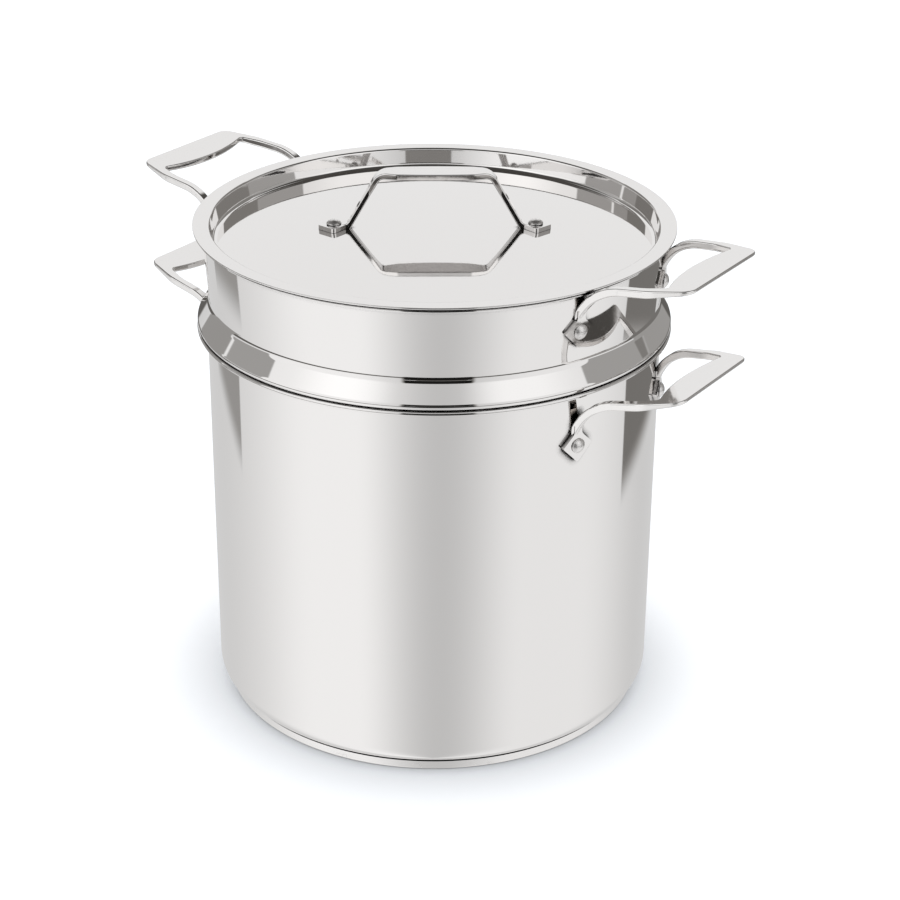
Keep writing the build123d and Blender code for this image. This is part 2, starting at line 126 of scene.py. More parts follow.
def ramp_between(tree, value, low, high):
    """Smooth step of a value, from 0 at low to 1 at high."""
    node = node_of(tree, "ShaderNodeMapRange", interpolation_type="SMOOTHSTEP")
    feed(tree, value, node.inputs["Value"])
    feed(tree, low, node.inputs["From Min"])
    feed(tree, high, node.inputs["From Max"])
    return node.outputs["Result"]


def blended(tree, factor, first, second):
    """Plain number between two, by a factor."""
    node = node_of(tree, "ShaderNodeMix", data_type="FLOAT")
    feed(tree, factor, node.inputs[0])
    feed(tree, first, node.inputs[2])
    feed(tree, second, node.inputs[3])
    return node.outputs[0]


def blended_colour(tree, factor, first, second):
    """Colour between two, by a factor; a Mix node keeps its colours in sockets 6 and 7, its result in 2."""
    node = node_of(tree, "ShaderNodeMix", data_type="RGBA")
    feed(tree, factor, node.inputs[0])
    node.inputs[6].default_value = (*first, 1)
    node.inputs[7].default_value = (*second, 1)
    return node.outputs[2]


# %% [markdown]
# What is used more than once becomes a node group: it is built once, with named inputs and outputs, and placed
# wherever it is needed with its own numbers, as a maker keeps one jig and sets it for each job.

# %% Helpers: build a node group and place it
def new_group(name, inputs, outputs):
    """A shader node group with float, vector or colour sockets, and its input and output nodes."""
    group = bpy.data.node_groups.new(name, "ShaderNodeTree")
    for socket_name, kind, value in inputs:
        socket = group.interface.new_socket(socket_name, in_out="INPUT", socket_type=kind)
        if value is not None:
            socket.default_value = value
    for socket_name, kind in outputs:
        group.interface.new_socket(socket_name, in_out="OUTPUT", socket_type=kind)
    return group, node_of(group, "NodeGroupInput"), node_of(group, "NodeGroupOutput")


def placed_group(tree, group, **values):
    """A node group placed in a tree, with its inputs set by name."""
    node = node_of(tree, "ShaderNodeGroup", node_tree=group)
    for name, value in values.items():
        feed(tree, value, node.inputs[name.replace("_", " ").capitalize()])
    return node


# %% [markdown]
# One flag is a window in azimuth and elevation with soft edges. It is a node group, so that each flag is one node
# with its own numbers: where its middle is, how wide and high it is, and how soft its edges are.

# %% A studio flag as a node group
FLOAT = "NodeSocketFloat"
flag_inputs = [
    ("Azimuth", FLOAT, 0.0),
    ("Elevation", FLOAT, 0.0),
    ("Middle", FLOAT, 0.0),
    ("Half width", FLOAT, 10.0),
    ("Side softness", FLOAT, 1.0),
    ("Low", FLOAT, -90.0),
    ("High", FLOAT, 90.0),
    ("Edge softness", FLOAT, 1.0),
    ("Low slope", FLOAT, 0.0),
]
flag_group, flag_in, flag_out = new_group("studio_flag", flag_inputs, [("Mask", FLOAT)])


# %% The flag's width
def soft_edge(tree, place, softness):
    """Where a soft edge starts and ends, half its softness to each side of its place."""
    return maths(tree, "SUBTRACT", place, softness), maths(tree, "ADD", place, softness)


offset = maths(flag_group, "SUBTRACT", flag_in.outputs["Azimuth"], flag_in.outputs["Middle"])
turned = maths(flag_group, "WRAP", offset, 180.0, -180.0)
distance = maths(flag_group, "ABSOLUTE", turned)
side_edge = soft_edge(flag_group, flag_in.outputs["Half width"], flag_in.outputs["Side softness"])
outside = ramp_between(flag_group, distance, *side_edge)

# %% The flag's height, and both together
elevation = flag_in.outputs["Elevation"]
soft = flag_in.outputs["Edge softness"]
tilt = maths(flag_group, "MULTIPLY", turned, flag_in.outputs["Low slope"])
low = maths(flag_group, "ADD", flag_in.outputs["Low"], tilt)
high = flag_in.outputs["High"]
over_low = ramp_between(flag_group, elevation, *soft_edge(flag_group, low, soft))
over_high = ramp_between(flag_group, elevation, *soft_edge(flag_group, high, soft))
inside = maths(flag_group, "SUBTRACT", 1.0, outside)
under_top = maths(flag_group, "SUBTRACT", 1.0, over_high)
mask = maths(flag_group, "MULTIPLY", maths(flag_group, "MULTIPLY", inside, over_low), under_top)
flag_group.links.new(mask, flag_out.inputs["Mask"])
print("flag group nodes:", len(flag_group.nodes))

# %% [markdown]
# The world: white for the camera, plain light for matt surfaces, and the tent with its flags for the steel.
# Each flag is a name and its numbers, from the widest and softest to the small sharp ones that are laid over them.

# %% Studio flags
# name: level, middle, half width, side softness, low, high, edge softness, slope of the low edge
studio_flags = {
    "left tent wall": (0.95, -52, 34, 26, -90, 90, 5, 0),
    "left shade": (0.66, -150, 45, 40, -90, 0, 8, 0),
    "right shade": (0.64, 152, 42, 30, -90, 0, 8, 0),
    "camera gap": (0.57, 4, 22, 22, -90, 90, 8, 0),
    "bright left top": (1.12, -48, 16, 14, 21, 60, 5, 0),
    "bright right top": (1.0, 46, 20, 14, 22, 60, 5, 0),
    "dark ceiling": (0.06, 0, 181, 0.5, 52, 91, 3, 0),
    "room past the right side": (0.07, 114, 32, 5, 39, 66, 1.5, 0),
    "room past the left side": (0.07, -114, 32, 5, 39, 66, 1.5, 0),
    "table edge": (0.12, 0, 181, 0.5, -18, -9, 1, 0),
    "right upper flag": (0.36, 97, 18, 0.6, -4, 38, 1, 0),
    "right far flag": (0.18, 134, 21, 0.6, -25.2, -10, 0.6, 0.065),
    "right far card": (0.34, 134, 21, 0.6, -10, 8, 0.6, 0),
    "right far top": (0.22, 134, 20, 0.6, 8, 38, 0.6, 0),
    "left upper flag": (0.36, -99.8, 13.8, 0.6, -4, 38, 1, 0),
    "left far flag": (0.32, -128.6, 13, 0.6, -24.5, 38, 0.6, -0.1),
    "left far top": (0.2, -141, 12, 0.6, 7, 38, 0.6, 0),
    "camera opening": (0.012, 2, 17, 1.5, -22, 1.7, 0.3, 0),
    "camera opening top": (0.012, 2, 17, 1.5, 3.6, 25, 0.3, 0),
    "light through the opening": (0.22, 3.6, 12, 0.5, 1.5, 3.8, 0.2, 0),
}
tent_level = 0.86
plain_level = 1.0

# %% Studio world
world = bpy.data.worlds.new("studio")
bpy.context.scene.world = world
bpy.context.scene.view_settings.view_transform = "Standard"
world.use_nodes = True
tree = world.node_tree
tree.nodes.clear()
direction = node_of(tree, "ShaderNodeTexCoord").outputs["Generated"]
separate = node_of(tree, "ShaderNodeSeparateXYZ")
feed(tree, direction, separate.inputs[0])
x, y, z = separate.outputs
azimuth_radians = maths(tree, "ARCTAN2", x, maths(tree, "MULTIPLY", y, -1.0))
azimuth = maths(tree, "SUBTRACT", maths(tree, "DEGREES", azimuth_radians), camera_azimuth)
elevation = maths(tree, "DEGREES", maths(tree, "ARCSINE", z))
level = tent_level
for name, (flag_level, *shape) in studio_flags.items():
    flag = placed_group(tree, flag_group, azimuth=azimuth, elevation=elevation)
    flag.label = name
    for socket, value in zip(list(flag.inputs)[2:], shape):
        socket.default_value = value
    level = blended(tree, flag.outputs["Mask"], level, flag_level)
print("studio flags:", list(studio_flags))

# %% [markdown]
# What the steel sees is a little warm where it is dark, as a room behind a tent is. Matt surfaces and the camera
# get the plain white level, so the floor stays clean and the picture's ground is white.

# %% Levels for each kind of ray
camera_level = 1.0
warm_below = 0.6
dark_room_tint = (1, 0.95, 0.89)
ray = node_of(tree, "ShaderNodeLightPath")
matt_level = blended(tree, ray.outputs["Is Diffuse Ray"], level, plain_level)
seen_level = blended(tree, ray.outputs["Is Camera Ray"], matt_level, camera_level)
light_colour = blended_colour(tree, ramp_between(tree, seen_level, 0.0, warm_below), dark_room_tint, (1, 1, 1))
background = node_of(tree, "ShaderNodeBackground")
tree.links.new(light_colour, background.inputs["Color"])
feed(tree, seen_level, background.inputs["Strength"])
tree.links.new(background.outputs[0], node_of(tree, "ShaderNodeOutputWorld").inputs["Surface"])

# %% [markdown]
# The floor is a white sweep that stays white to the camera and keeps the pot's shadow.
# It glows a little to the camera, a painted light, less where the base stands close over it, so that a narrow soft
# painted shadow is left there; its grey-blue matt colour makes that shadow bluish. Steel looks straight through it to
# the tent, as on a glossy white table.

# %% Floor
floor_size = 12.0
floor_painted_glow = 0.52
shadow_reach = 0.045
# grey-blue matt colour: the painted glow makes it white, and where the glow fades it leaves a bluish painted shadow
floor_colour = (0.67, 0.7, 0.74)
bpy.ops.mesh.primitive_plane_add(size=floor_size, location=(0, 0, 0))
floor = bpy.context.object
floor.name = "studio_floor"

# %% Floor material
floor_material = bpy.data.materials.new("floor_white")
floor_material.use_nodes = True
tree = floor_material.node_tree
tree.nodes.clear()
matt = node_of(tree, "ShaderNodeBsdfDiffuse")
matt.inputs["Color"].default_value = (*floor_colour, 1)
glow = node_of(tree, "ShaderNodeEmission")
ray = node_of(tree, "ShaderNodeLightPath")
open_sky = node_of(tree, "ShaderNodeAmbientOcclusion", samples=8)
open_sky.inputs["Distance"].default_value = shadow_reach
# painted shadow: the glow fades where other surfaces are within reach
lit = maths(tree, "MULTIPLY", open_sky.outputs["AO"], floor_painted_glow)
glow_level = maths(tree, "MULTIPLY", ray.outputs["Is Camera Ray"], lit)
feed(tree, glow_level, glow.inputs["Strength"])
sum_of_both = node_of(tree, "ShaderNodeAddShader")
tree.links.new(matt.outputs[0], sum_of_both.inputs[0])
tree.links.new(glow.outputs[0], sum_of_both.inputs[1])

# %% Floor: seen through by steel
clear = node_of(tree, "ShaderNodeBsdfTransparent")
choice = node_of(tree, "ShaderNodeMixShader")
feed(tree, ray.outputs["Is Glossy Ray"], choice.inputs[0])
tree.links.new(sum_of_both.outputs[0], choice.inputs[1])
tree.links.new(clear.outputs[0], choice.inputs[2])
tree.links.new(choice.outputs[0], node_of(tree, "ShaderNodeOutputMaterial").inputs["Surface"])
floor.data.materials.append(floor_material)
bpy.ops.object.select_all(action="DESELECT")

# %% [markdown]
# Mirror-polished steel is more than a colour and a low roughness. Four things tell it from chrome in a picture:
# the sheet is never quite flat, so the mirrored edges wobble; buffing leaves hair-fine lines that run round with the
# wheel; hands and cloths leave faint smudges that only dull it; and the narrow gaps between pieces are dark, here
# painted as shade in the steel's colour.
# Each of these is shared by several materials, so each is a node group with its own few numbers.

# %% Effect: distance round and across a spun piece
VECTOR = "NodeSocketVector"


def lines_position(group, position, around, across):
    """Stretch a position so that noise on it runs in long lines round the pot's axis."""
    parts = node_of(group, "ShaderNodeSeparateXYZ")
    feed(group, position, parts.inputs[0])
    flat = node_of(group, "ShaderNodeCombineXYZ")
    feed(group, parts.outputs[0], flat.inputs[0])
    feed(group, parts.outputs[1], flat.inputs[1])
    outwards = node_of(group, "ShaderNodeVectorMath", operation="NORMALIZE")
    feed(group, flat.outputs[0], outwards.inputs[0])
    radius = node_of(group, "ShaderNodeVectorMath", operation="LENGTH")
    feed(group, flat.outputs[0], radius.inputs[0])
    ring = node_of(group, "ShaderNodeVectorMath", operation="SCALE")
    feed(group, outwards.outputs[0], ring.inputs[0])
    feed(group, around, ring.inputs["Scale"])
    along_profile = maths(group, "SUBTRACT", parts.outputs[2], radius.outputs["Value"])
    height = node_of(group, "ShaderNodeCombineXYZ")
    feed(group, maths(group, "MULTIPLY", along_profile, across), height.inputs[2])
    place = node_of(group, "ShaderNodeVectorMath", operation="ADD")
    feed(group, ring.outputs[0], place.inputs[0])
    feed(group, height.outputs[0], place.inputs[1])
    return place.outputs[0]


# %% Effect: lines that run round, as a buffing wheel or a lathe leaves them
line_inputs = [("Position", VECTOR, None), ("Around", FLOAT, 6.0), ("Across", FLOAT, 2500.0)]
lines_group, lines_in, lines_out = new_group("round_lines", line_inputs, [("Lines", FLOAT)])
line_noise = node_of(lines_group, "ShaderNodeTexNoise")
line_noise.inputs["Scale"].default_value = 1.0
line_noise.inputs["Detail"].default_value = 3.0
line_place = lines_position(lines_group, *lines_in.outputs[:3])
feed(lines_group, line_place, line_noise.inputs["Vector"])
lines_group.links.new(line_noise.outputs["Fac"], lines_out.inputs["Lines"])

# %% Effect: smudges of hands and cloths
smudge_inputs = [("Position", VECTOR, None), ("Scale", FLOAT, 16.0), ("Cover", FLOAT, 0.5)]
smudge_group, smudge_in, smudge_out = new_group("cloth_smudges", smudge_inputs, [("Smudge", FLOAT)])
cloud = node_of(smudge_group, "ShaderNodeTexNoise")
cloud.inputs["Detail"].default_value = 4.0
cloud.inputs["Distortion"].default_value = 0.8
feed(smudge_group, smudge_in.outputs["Position"], cloud.inputs["Vector"])
feed(smudge_group, smudge_in.outputs["Scale"], cloud.inputs["Scale"])
thin = maths(smudge_group, "SUBTRACT", 1.0, smudge_in.outputs["Cover"])
full = maths(smudge_group, "ADD", thin, 0.25)
feed(smudge_group, ramp_between(smudge_group, cloud.outputs["Fac"], thin, full), smudge_out.inputs["Smudge"])

# %% Effect: hairline scratches, thin curved lines that come and go
hair_inputs = [("Position", VECTOR, None), ("Scale", FLOAT, 55.0), ("Width", FLOAT, 0.008)]
hair_group, hair_in, hair_out = new_group("hairline_scratches", hair_inputs, [("Scratch", FLOAT)])
contour = node_of(hair_group, "ShaderNodeTexNoise")
contour.inputs["Detail"].default_value = 1.0
feed(hair_group, hair_in.outputs["Position"], contour.inputs["Vector"])
feed(hair_group, hair_in.outputs["Scale"], contour.inputs["Scale"])
off_line = maths(hair_group, "ABSOLUTE", maths(hair_group, "SUBTRACT", contour.outputs["Fac"], 0.5))
on_line = ramp_between(hair_group, off_line, hair_in.outputs["Width"], 0.0)
broken = node_of(hair_group, "ShaderNodeTexNoise")
feed(hair_group, hair_in.outputs["Position"], broken.inputs["Vector"])
feed(hair_group, maths(hair_group, "MULTIPLY", hair_in.outputs["Scale"], 0.4), broken.inputs["Scale"])
kept = ramp_between(hair_group, broken.outputs["Fac"], 0.5, 0.6)
feed(hair_group, maths(hair_group, "MULTIPLY", on_line, kept), hair_out.inputs["Scratch"])

# %% Effect: the sheet's slow waviness, as a height
wave_inputs = [("Position", VECTOR, None), ("Scale", FLOAT, 22.0)]
wave_group, wave_in, wave_out = new_group("sheet_waviness", wave_inputs, [("Height", FLOAT)])
slow = node_of(wave_group, "ShaderNodeTexNoise")
slow.inputs["Detail"].default_value = 1.0
feed(wave_group, wave_in.outputs["Position"], slow.inputs["Vector"])
feed(wave_group, wave_in.outputs["Scale"], slow.inputs["Scale"])
wave_group.links.new(slow.outputs["Fac"], wave_out.inputs["Height"])

# %% Effect: painted shade in gaps and corners
gap_inputs = [("Reach", FLOAT, 0.004), ("Dark at", FLOAT, 0.3), ("Clear at", FLOAT, 0.62)]
painted_shade_group, gap_in, gap_out = new_group("painted_shade_in_gaps", gap_inputs, [("Open", FLOAT)])
# painted shade: how open each point is, from which the steel's colour is darkened near other surfaces
nearby = node_of(painted_shade_group, "ShaderNodeAmbientOcclusion", samples=6)
feed(painted_shade_group, gap_in.outputs["Reach"], nearby.inputs["Distance"])
openness = ramp_between(painted_shade_group, nearby.outputs["AO"], gap_in.outputs["Dark at"], gap_in.outputs["Clear at"])
painted_shade_group.links.new(openness, gap_out.inputs["Open"])
print("effects:", [group.name for group in bpy.data.node_groups])


# %% Steel: a base that every finish starts from
def steel(name, colour, reach, dark_at, clear_at, painted_shade_level=0.04):
    """Steel with painted shade in its gaps: the material, its tree, its surface and its object coordinates."""
    material = bpy.data.materials.new(name)
    material.use_nodes = True
    tree = material.node_tree
    surface = tree.nodes["Principled BSDF"]
    surface.inputs["Metallic"].default_value = 1.0
    gap = placed_group(tree, painted_shade_group, reach=reach, dark_at=dark_at, clear_at=clear_at)
    # painted shade: the colour goes towards a dark tone where the point is closed in
    painted_shade_tone = (painted_shade_level, painted_shade_level * 0.9, painted_shade_level * 0.82)
    tone = blended_colour(tree, gap.outputs["Open"], painted_shade_tone, colour)
    tree.links.new(tone, surface.inputs["Base Color"])
    position = node_of(tree, "ShaderNodeTexCoord").outputs["Object"]
    return material, tree, surface, position


# %% Steel: bumps and masks
def raised(tree, height, depth, under=None):
    """Bump of a height texture by a real depth in metres, laid over another bump if there is one."""
    bump = node_of(tree, "ShaderNodeBump")
    bump.inputs["Distance"].default_value = depth
    feed(tree, height, bump.inputs["Height"])
    if under is not None:
        feed(tree, under, bump.inputs["Normal"])
    return bump.outputs["Normal"]


def summed(tree, start, *parts):
    """Start value plus masks, each times its own weight."""
    total = start
    for mask, weight in parts:
        total = maths(tree, "ADD", total, maths(tree, "MULTIPLY", mask, weight))
    return total


# %% [markdown]
# The outsides of pot, insert and lid are buffed to a mirror. A plain glossy shader would do from far off, but close
# by it looks like glass, so roughness comes from smudges, buffing lines and hairlines, and the normal from the slow
# waviness with the buffing lines on top. The depths are real ones: microns, or the mirrored edges would break up.

# %% Mirror-polished sheet: tints and painted gap shades
steel_tint = (0.9, 0.885, 0.875)
# each gap setting is the painted shade's reach, and the openness where it is darkest and where it ends
narrow_gap = {"reach": 0.004, "dark_at": 0.28, "clear_at": 0.6}
# under the collar and over the base two sheets nearly close, so the painted shade starts earlier there and is darker
joint_gap = {"reach": 0.0045, "dark_at": 0.5, "clear_at": 0.84, "painted_shade_level": 0.01}
foot_gap = {"reach": 0.0045, "dark_at": 0.64, "clear_at": 0.92, "painted_shade_level": 0.01}

# %% Mirror-polished sheet
mirror_roughness = 0.02
buffed_depth = 4e-7


def polished_sheet(name, wave_depth, wave_scale, gap):
    """Mirror-polished steel whose sheet waves by its own depth and scale, with its own painted gap shade."""
    material, tree, surface, position = steel(name, steel_tint, **gap)
    lines = placed_group(tree, lines_group, position=position, around=5.0, across=2600.0).outputs[0]
    smudge = placed_group(tree, smudge_group, position=position, scale=17.0, cover=0.45).outputs[0]
    hair = placed_group(tree, hair_group, position=position, scale=60.0, width=0.004).outputs[0]
    wave = placed_group(tree, wave_group, position=position, scale=wave_scale).outputs[0]
    dulled = summed(tree, mirror_roughness, (smudge, 0.03), (lines, 0.03), (hair, 0.04))
    feed(tree, dulled, surface.inputs["Roughness"])
    feed(tree, raised(tree, lines, buffed_depth, raised(tree, wave, wave_depth)), surface.inputs["Normal"])
    return material


pot_polish = polished_sheet("pot_polish", wave_depth=1.6e-5, wave_scale=16.0, gap=foot_gap)
insert_polish = polished_sheet("insert_polish", wave_depth=2.2e-5, wave_scale=21.0, gap=joint_gap)
lid_polish = polished_sheet("lid_polish", wave_depth=1.4e-5, wave_scale=15.0, gap=narrow_gap)
print("mirror finishes:", pot_polish.name, insert_polish.name, lid_polish.name)

# %% [markdown]
# Insides are left satin: brushed on the lathe with a coarse wheel, so that sauce lets go and scratches don't show.
# The lines are deeper than on the outside, and they widen the highlight across them, which the anisotropy gives.

# %% Satin insides
satin_roughness = 0.26
satin_line_depth = 3e-6
satin_pull = 0.45
# painted shade in the inside corners
corner_gap = {"reach": 0.006, "dark_at": 0.1, "clear_at": 0.5}
inside_satin, tree, surface, position = steel("inside_satin", steel_tint, **corner_gap)
lines = placed_group(tree, lines_group, position=position, around=3.0, across=1700.0).outputs[0]
smudge = placed_group(tree, smudge_group, position=position, scale=11.0, cover=0.5).outputs[0]
feed(tree, summed(tree, satin_roughness, (lines, 0.16), (smudge, 0.06)), surface.inputs["Roughness"])
feed(tree, raised(tree, lines, satin_line_depth), surface.inputs["Normal"])
surface.inputs["Anisotropic"].default_value = satin_pull

# %% [markdown]
# The base cap is stamped and then ground flat: its rim is nearly as bright as the wall, its underside carries
# grinding rings and the scuffs of stove tops. The aluminium disc inside it is turned, dull and a little bluer.

# %% Base cap finish
ground_roughness = 0.07
ground_ring_depth = 2e-6
scuff_depth = -1e-6
# painted shade in the base cap's narrow gaps
rim_gap = {"reach": 0.002, "dark_at": 0.2, "clear_at": 0.5}
base_polish, tree, surface, position = steel("base_ground", steel_tint, **rim_gap)
lines = placed_group(tree, lines_group, position=position, around=0.8, across=800.0).outputs[0]
hair = placed_group(tree, hair_group, position=position, scale=90.0, width=0.02).outputs[0]
smudge = placed_group(tree, smudge_group, position=position, scale=24.0, cover=0.5).outputs[0]
dulled = summed(tree, ground_roughness, (lines, 0.1), (hair, 0.2), (smudge, 0.05))
feed(tree, dulled, surface.inputs["Roughness"])
rings = raised(tree, lines, ground_ring_depth)
feed(tree, raised(tree, hair, scuff_depth, rings), surface.inputs["Normal"])

# %% Core finish
turned_roughness = 0.3
turned_ring_depth = 5e-6
aluminium_tint = (0.86, 0.87, 0.885)
core_aluminium, tree, surface, position = steel("core_aluminium_turned", aluminium_tint, **narrow_gap)
lines = placed_group(tree, lines_group, position=position, around=0.6, across=700.0).outputs[0]
smudge = placed_group(tree, smudge_group, position=position, scale=30.0, cover=0.5).outputs[0]
feed(tree, summed(tree, turned_roughness, (lines, 0.15), (smudge, 0.08)), surface.inputs["Roughness"])
feed(tree, raised(tree, lines, turned_ring_depth), surface.inputs["Normal"])

# %% [markdown]
# The handles are cast and tumbled, then polished: their faces are soft, a faint orange peel bends what they mirror,
# and their undersides, where the pot and the lid stand close, are painted with shade. So their painted shade reaches
# further.
# Rivet heads are pressed by a steel snap and never buffed, so they stay grainy and show no clear picture of the room.

# %% Handle finishes
cast_roughness = 0.06
peel_depth = 1.2e-5
# painted shade on the handles' undersides, reaching far from the pot and the lid
underside_painted_shade = {"reach": 0.05, "dark_at": 0.1, "clear_at": 0.65}


def cast_handle(name, painted_shade_level):
    """Polished casting, with its own darkness of painted shade on its underside."""
    material, tree, surface, position = steel(name, steel_tint, **underside_painted_shade, painted_shade_level=painted_shade_level)
    peel = placed_group(tree, wave_group, position=position, scale=160.0).outputs[0]
    smudge = placed_group(tree, smudge_group, position=position, scale=60.0, cover=0.5).outputs[0]
    hair = placed_group(tree, hair_group, position=position, scale=200.0, width=0.02).outputs[0]
    feed(tree, summed(tree, cast_roughness, (smudge, 0.05), (hair, 0.12)), surface.inputs["Roughness"])
    feed(tree, raised(tree, hair, scuff_depth, raised(tree, peel, peel_depth)), surface.inputs["Normal"])
    return material


loop_polish = cast_handle("loop_cast_polish", painted_shade_level=0.34)
lid_handle_polish = cast_handle("lid_handle_cast_polish", painted_shade_level=0.08)

# %% Rivet finish
pressed_roughness = 0.3
grain_depth = 2e-6
dent_depth = 1.5e-5
rivet_polish, tree, surface, position = steel("rivet_pressed", steel_tint, **narrow_gap)
grain = placed_group(tree, smudge_group, position=position, scale=900.0, cover=0.5).outputs[0]
dents = placed_group(tree, wave_group, position=position, scale=420.0).outputs[0]
feed(tree, summed(tree, pressed_roughness, (grain, 0.12), (dents, 0.06)), surface.inputs["Roughness"])
feed(tree, raised(tree, grain, grain_depth, raised(tree, dents, dent_depth)), surface.inputs["Normal"])
print("finishes:", sorted(material.name for material in bpy.data.materials if material.node_tree))

# %% [markdown]
# The handles, the rivets and the base's core stay as the CAD model has them: their rounded edges are already right,
# so they only take their finishes here.

# %% Finishes on the carried-over pieces
for name, node in frame["nodes"].items():
    if name == "base_core_disc":
        material = core_aluminium
    elif "rivet" in name:
        material = rivet_polish
    elif name == "lid_handle":
        material = lid_handle_polish
    else:
        material = loop_polish
    for slot in node.material_slots:
        slot.material = material
print("finished:", len(frame["nodes"]), "CAD pieces")

# %% [markdown]
# The pot is one drawn sheet, a millimetre thick, with a rounded foot. Its lip flares out flat, so that the insert has
# a seat, and then rolls over in a bead, which pours cleanly and shows as a bright line under the insert's collar.
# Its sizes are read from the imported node's box: the lip is its widest circle and the foot its lowest plane.
# Each corner of the outline is a radius, a height and the bend that the sheet makes there.

# %% Pot shell: sizes
pot_sheet = 0.001
pot_lip_overhang = 0.0058
pot_corner_bend = 0.0098
pot_lip_bend = 0.0024
pot_bead_bend = 0.001
pot_bead_drop = 0.0026
pot_low, pot_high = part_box("pot_shell")
pot_lip_radius = pot_high.x
pot_radius = pot_lip_radius - pot_lip_overhang
pot_height = pot_high.z
bead_radius = pot_lip_radius - pot_sheet
pot_corners = [
    (0, pot_low.z, 0),
    (pot_radius, pot_low.z, pot_corner_bend),
    (pot_radius, pot_height - pot_sheet, pot_lip_bend),
    (bead_radius, pot_height - pot_sheet, pot_bead_bend),
    (bead_radius, pot_height - pot_bead_drop, 0),
]
print("pot radius and height:", round(pot_radius, 4), round(pot_height, 4))

# %% [markdown]
# The pot, the insert, the lid and the base are sheets of revolution: a press or a spinning lathe forms each of them
# from one round blank. A cylinder primitive would give straight walls only, and its corners would still have to be
# cut in. Drawing half of the outline and spinning it about the axis is what the lathe does, so that is the way here.
# The outline starts as one vertex, is extruded from corner to corner, and each corner is bevelled to its bend.

# %% Draw half of an outline
bend_steps = 8
merge_reach = 2e-6


def pick_vertices(piece, wanted):
    """In edit mode, select just the vertices that a test wants."""
    bpy.ops.mesh.select_mode(type="VERT")
    bpy.ops.mesh.select_all(action="DESELECT")
    bpy.ops.object.mode_set(mode="OBJECT")
    for vertex in piece.data.vertices:
        vertex.select = wanted(vertex.co)
    bpy.ops.object.mode_set(mode="EDIT")


def draw_outline(name, corners):
    """Half outline in the XZ plane from corners of radius, height and bend radius, with its bends bevelled."""
    bpy.ops.object.select_all(action="DESELECT")
    bpy.ops.mesh.primitive_plane_add(size=merge_reach, location=(0, 0, 0))
    piece = bpy.context.object
    piece.name = name
    piece.data.name = name
    places = [Vector((radius, 0, height)) for radius, height, _ in corners]
    bpy.ops.object.mode_set(mode="EDIT")
    bpy.ops.mesh.select_mode(type="VERT")
    bpy.ops.mesh.select_all(action="SELECT")
    bpy.ops.mesh.merge(type="CENTER")
    bpy.ops.transform.translate(value=places[0])
    for before, place in zip(places, places[1:]):
        bpy.ops.mesh.extrude_region_move(TRANSFORM_OT_translate={"value": place - before})
    for index, (_, _, bend) in enumerate(corners):
        if bend:
            place = places[index]
            turn = (place - places[index - 1]).angle(places[index + 1] - place)
            pick_vertices(piece, lambda co: (co - place).length < merge_reach)
            bpy.ops.mesh.bevel(
                affect="VERTICES", offset=bend * math.tan(turn / 2), segments=bend_steps, clamp_overlap=False
            )
    bpy.ops.object.mode_set(mode="OBJECT")
    return piece


pot = draw_outline("pot_drawn_shell", pot_corners)
print("outline points:", len(pot.data.vertices))

# %% [markdown]
# Spin sweeps the outline once round the axis. It leaves a pile of points at the pole and a double row at the seam,
# so doubles are merged, and only then are the normals made to agree: on a shell that isn't closed Blender can't
# know which side is the outside, so the largest face tells, and all are flipped where it looks the wrong way.

# %% Spin it round the axis
turns = 192


def only(piece):
    """Select one object and make it active."""
    bpy.ops.object.select_all(action="DESELECT")
    piece.select_set(True)
    bpy.context.view_layer.objects.active = piece


def spin_outline(piece, outside_is_up=False):
    """Spin an outline once round the axis, close its pole and seam, and turn its faces outwards."""
    only(piece)
    bpy.ops.object.mode_set(mode="EDIT")
    bpy.ops.mesh.select_all(action="SELECT")
    bpy.ops.mesh.spin(steps=turns, angle=2 * math.pi, center=(0, 0, 0), axis=(0, 0, 1))
    bpy.ops.mesh.select_all(action="SELECT")
    bpy.ops.mesh.remove_doubles(threshold=merge_reach)
    bpy.ops.mesh.normals_make_consistent(inside=False)
    bpy.ops.object.mode_set(mode="OBJECT")
    widest = max(piece.data.polygons, key=lambda face: face.area)
    looks_in = widest.normal.z < 0 if outside_is_up else widest.normal.dot(widest.center) < 0
    if looks_in:
        bpy.ops.object.mode_set(mode="EDIT")
        bpy.ops.mesh.select_all(action="SELECT")
        bpy.ops.mesh.flip_normals()
        bpy.ops.object.mode_set(mode="OBJECT")


spin_outline(pot)

# %% [markdown]
# The spun sheet has no thickness yet. A Solidify modifier gives it its wall, inwards from the outside face, so that
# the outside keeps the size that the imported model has. It also gives the inside a material slot of its own.

# %% Give it a wall
def give_wall(piece, sheet):
    """Give a spun sheet its thickness inwards; the inside takes the second material slot."""
    only(piece)
    wall = piece.modifiers.new("wall", "SOLIDIFY")
    wall.thickness = sheet
    wall.offset = -1
    wall.use_even_offset = True
    wall.material_offset = 1
    bpy.ops.object.modifier_apply(modifier=wall.name)


give_wall(pot, pot_sheet)

# %% [markdown]
# A cut sheet has two sharp edges along its rim, which are broken with a file or a belt. They are found by their turn
# of a right angle, and a small bevel rounds them and catches the light. Punched holes have such edges too, and a
# test of each edge's place leaves them out.

# %% Break the raw edges
raw_edge_round = 0.0003
raw_edge_turn = math.radians(60)
raw_edge_steps = 3


